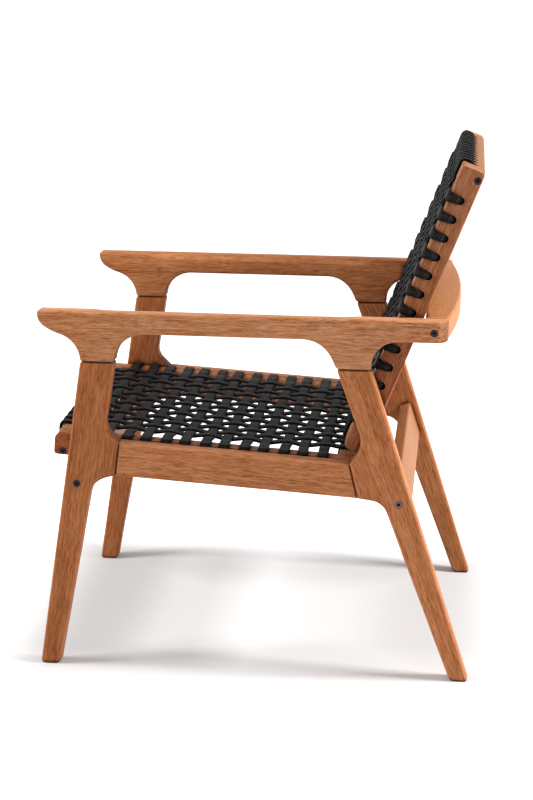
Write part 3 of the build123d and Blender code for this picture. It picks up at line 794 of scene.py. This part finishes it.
def mottled_material(name, dark, light, stretch, metallic, roughness):
    """A plain material with a little change in its colour."""
    material, tree, shader = new_material(name)
    place = stretched(tree, tree.nodes.new("ShaderNodeTexCoord").outputs["Object"], stretch)
    colour = mix(tree, noise(tree, place, 1, HIDDEN_DETAIL)["Fac"], dark, light)
    tree.links.new(colour, shader["Base Color"])
    shader["Metallic"].default_value = metallic
    shader["Roughness"].default_value = roughness
    return material


beech = mottled_material("beech", BEECH_DARK, BEECH_LIGHT, BEECH_STRETCH, 0.0, BEECH_ROUGHNESS)
zinc = mottled_material("zinc", ZINC_DARK, ZINC_LIGHT, ZINC_STRETCH, 1.0, ZINC_ROUGHNESS)
for node, material in (
    ("arm_tenons", beech),
    ("side_rail_tenons", beech),
    ("stretcher_dowels", beech),
    ("back_rail_dowels", beech),
    ("stretcher_inserts", zinc),
    ("back_rail_inserts", zinc),
    ("seat_panel_screws", black_steel),
    ("back_panel_screws", black_steel),
):
    frame["nodes"][node].data.materials.clear()
    frame["nodes"][node].data.materials.append(material)

# Floor: a matt white sweep that keeps the chair's soft shadows. It glows a little, more so in the
# middle, and far from the chair enough to vanish into the white background.
FLOOR_SIZE = 80
FLOOR_COLOUR = (0.73, 0.72, 0.715, 1)
FLOOR_GLOW = 0.06
FLOOR_GLOW_MIDDLE = 0.17
FLOOR_GLOW_FAR = 1.0
FLOOR_MIDDLE = (0.10, 0.28)
FLOOR_FAR = (0.30, 0.54)
FLOOR_SHAPE = 1.15
WHITE = (1, 1, 1, 1)


def seen_white(tree):
    """A mask of the rays that should meet white: those of the camera, of gloss and of clear matter."""
    path = tree.nodes.new("ShaderNodeLightPath").outputs
    seen = math_node(tree, "MAXIMUM", path["Is Camera Ray"], path["Is Glossy Ray"])
    return math_node(tree, "MAXIMUM", seen, path["Is Transmission Ray"])


bpy.ops.object.select_all(action="DESELECT")
bpy.ops.mesh.primitive_plane_add(size=FLOOR_SIZE, location=(0, 0, 0))
floor = bpy.context.active_object
floor.name = "floor"
floor_material, floor_tree, floor_shader = new_material("floor")
floor_place = floor_tree.nodes.new("ShaderNodeTexCoord").outputs["Object"]
floor_split = floor_tree.nodes.new("ShaderNodeSeparateXYZ")
floor_tree.links.new(vector_node(floor_tree, "ABSOLUTE", floor_place), floor_split.inputs["Vector"])
floor_sideways = math_node(floor_tree, "MULTIPLY", floor_split.outputs["X"], FLOOR_SHAPE)
floor_reach = math_node(floor_tree, "MAXIMUM", floor_sideways, floor_split.outputs["Y"])
floor_outer = ramp(floor_tree, floor_reach, *FLOOR_FAR, FLOOR_GLOW, FLOOR_GLOW_FAR, "SMOOTHSTEP")
floor_inner = ramp(floor_tree, floor_reach, *FLOOR_MIDDLE, FLOOR_GLOW_MIDDLE, 0.0, "SMOOTHSTEP")
floor_glow = math_node(floor_tree, "ADD", floor_outer, floor_inner)
floor_glow = math_node(floor_tree, "MULTIPLY", floor_glow, seen_white(floor_tree))
floor_tree.links.new(floor_glow, floor_shader["Emission Strength"])
floor_shader["Emission Color"].default_value = WHITE
floor_shader["Base Color"].default_value = FLOOR_COLOUR
floor_shader["Roughness"].default_value = 1.0
floor_shader["Specular IOR Level"].default_value = 0.0
floor.data.materials.append(floor_material)

# Light: a white studio, seen as pure white, with one soft lamp above and behind the chair and a weaker
# one above and in front of it.
STUDIO_LIGHT = 0.34
LAMP_SIZE = 0.9
LAMP_AIM = Vector((0, 0, 0.4))
REAR_LAMP_PLACE = Vector((0.3, 2.7, 2.1))
REAR_LAMP_POWER = 125
FRONT_LAMP_PLACE = Vector((0.6, -2.5, 1.9))
FRONT_LAMP_POWER = 66

world = bpy.data.worlds.new("studio")
bpy.context.scene.world = world
world.use_nodes = True
world_tree = world.node_tree
world_shader = world_tree.nodes["Background"].inputs
world_shader["Color"].default_value = WHITE
world_strength = ramp(world_tree, seen_white(world_tree), 0.0, 1.0, STUDIO_LIGHT, 1.0)
world_tree.links.new(world_strength, world_shader["Strength"])


def soft_lamp(name, place, power):
    """A square lamp aimed at the seat."""
    data = bpy.data.lights.new(name, "AREA")
    data.size = LAMP_SIZE
    data.energy = power
    lamp = bpy.data.objects.new(name, data)
    bpy.context.scene.collection.objects.link(lamp)
    lamp.location = place
    lamp.rotation_euler = (LAMP_AIM - place).to_track_quat("-Z", "Y").to_euler()


soft_lamp("rear_lamp", REAR_LAMP_PLACE, REAR_LAMP_POWER)
soft_lamp("front_lamp", FRONT_LAMP_PLACE, FRONT_LAMP_POWER)

# Camera: fitted to the photograph. It stands on the chair's left, a little behind its middle and above
# its back, and looks slightly down.
CAMERA_PLACE = (3.2433, 0.3130, 1.1897)
CAMERA_YAW = 0.0991910
CAMERA_PITCH = 0.2443909
CAMERA_ROLL = 0.0089475
CAMERA_LENS = 90
CAMERA_SENSOR = 36
camera_data = bpy.data.cameras.new("camera")
camera_data.lens = CAMERA_LENS
camera_data.sensor_width = CAMERA_SENSOR
camera = bpy.data.objects.new("camera", camera_data)
bpy.context.scene.collection.objects.link(camera)
forward = Vector((
    -math.cos(CAMERA_PITCH) * math.cos(CAMERA_YAW),
    -math.cos(CAMERA_PITCH) * math.sin(CAMERA_YAW),
    -math.sin(CAMERA_PITCH),
))
right = forward.cross(Vector((0, 0, 1))).normalized()
above = right.cross(forward)
turned_right = math.cos(CAMERA_ROLL) * right + math.sin(CAMERA_ROLL) * above
turned_above = -math.sin(CAMERA_ROLL) * right + math.cos(CAMERA_ROLL) * above
camera.matrix_world = Matrix.Translation(CAMERA_PLACE) @ Matrix(
    (turned_right, turned_above, -forward)
).transposed().to_4x4()
bpy.context.scene.camera = camera
